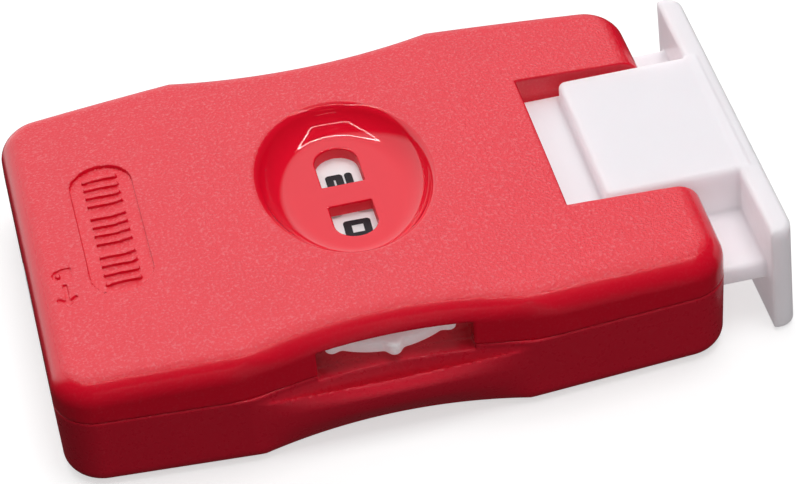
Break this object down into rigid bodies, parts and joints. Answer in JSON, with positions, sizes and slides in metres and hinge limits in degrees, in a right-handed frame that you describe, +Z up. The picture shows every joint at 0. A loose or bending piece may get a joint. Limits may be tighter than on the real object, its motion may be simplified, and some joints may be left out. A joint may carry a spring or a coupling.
{
  "type": "hand tally counter",
  "caption": "Pocket tally counter: waisted two-shell plastic case, sliding thumb bar at one end and number wheels shown through windows in an oval dish.",
  "frame": {"origin": "centre of the case's flat underside", "axes": "+Z up out of the top with the number windows; +X along the case towards the thumb bar; the digits read along -Y"},
  "size_m": [0.0664, 0.0414, 0.0126],
  "materials": {
    "case_red": "fine moulded texture on the top, glossy in the dish",
    "button_white": "smooth satin",
    "wheel_white": "smooth",
    "mechanism_white": "as moulded",
    "numeral_black": "printed ink",
    "steel": "bright drawn"
  },
  "bodies": {
    "case": {"lower_case": "case_red", "upper_case": "case_red", "case_screws": "steel", "spring_guide_pin": "steel", "return_spring": "steel", "units_axle": "steel", "tens_axle": "steel", "pinion_axle": "steel", "units_click_spring": "steel", "tens_click_spring": "steel"},
    "button": {"push_button": "button_white", "drive_pawl": "mechanism_white"},
    "units": {"units_wheel": "wheel_white", "units_ratchet": "mechanism_white", "units_carry_cam": "mechanism_white", "units_numerals": "numeral_black"},
    "tens": {"tens_wheel": "wheel_white", "tens_ratchet": "mechanism_white", "tens_carry_gear": "mechanism_white", "tens_numerals": "numeral_black"},
    "pinion": {"transfer_pinion": "mechanism_white"},
    "lock": {"lock_slider": "button_white"}
  },
  "joints": [
    {"name": "button_slide", "type": "slide", "parent": "case", "child": "button", "axis": [-1, 0, 0], "range_m": [0, 0.0035], "stiffness_N_per_m": 400, "springref_m": -0.003, "deforming": ["return_spring", "drive_pawl"]},
    {"name": "units_spin", "type": "hinge", "parent": "case", "child": "units", "pos_m": [-0.0003, -0.0096, 0.008], "axis": [0, 0, 1], "continuous": true, "deforming": ["units_click_spring"]},
    {"name": "tens_spin", "type": "hinge", "parent": "case", "child": "tens", "pos_m": [-0.0003, 0.0102, 0.008], "axis": [0, 0, 1], "continuous": true, "deforming": ["tens_click_spring"]},
    {"name": "pinion_spin", "type": "hinge", "parent": "case", "child": "pinion", "pos_m": [-0.0003, 0.0003, 0.0068], "axis": [0, 0, 1], "continuous": true},
    {"name": "lock_slide", "type": "slide", "parent": "case", "child": "lock", "axis": [0, -1, 0], "range_m": [0, 0.0063]}
  ],
  "couplings": [
    {"joint": "pinion_spin", "follows": "tens_spin", "ratio": -2}
  ]
}
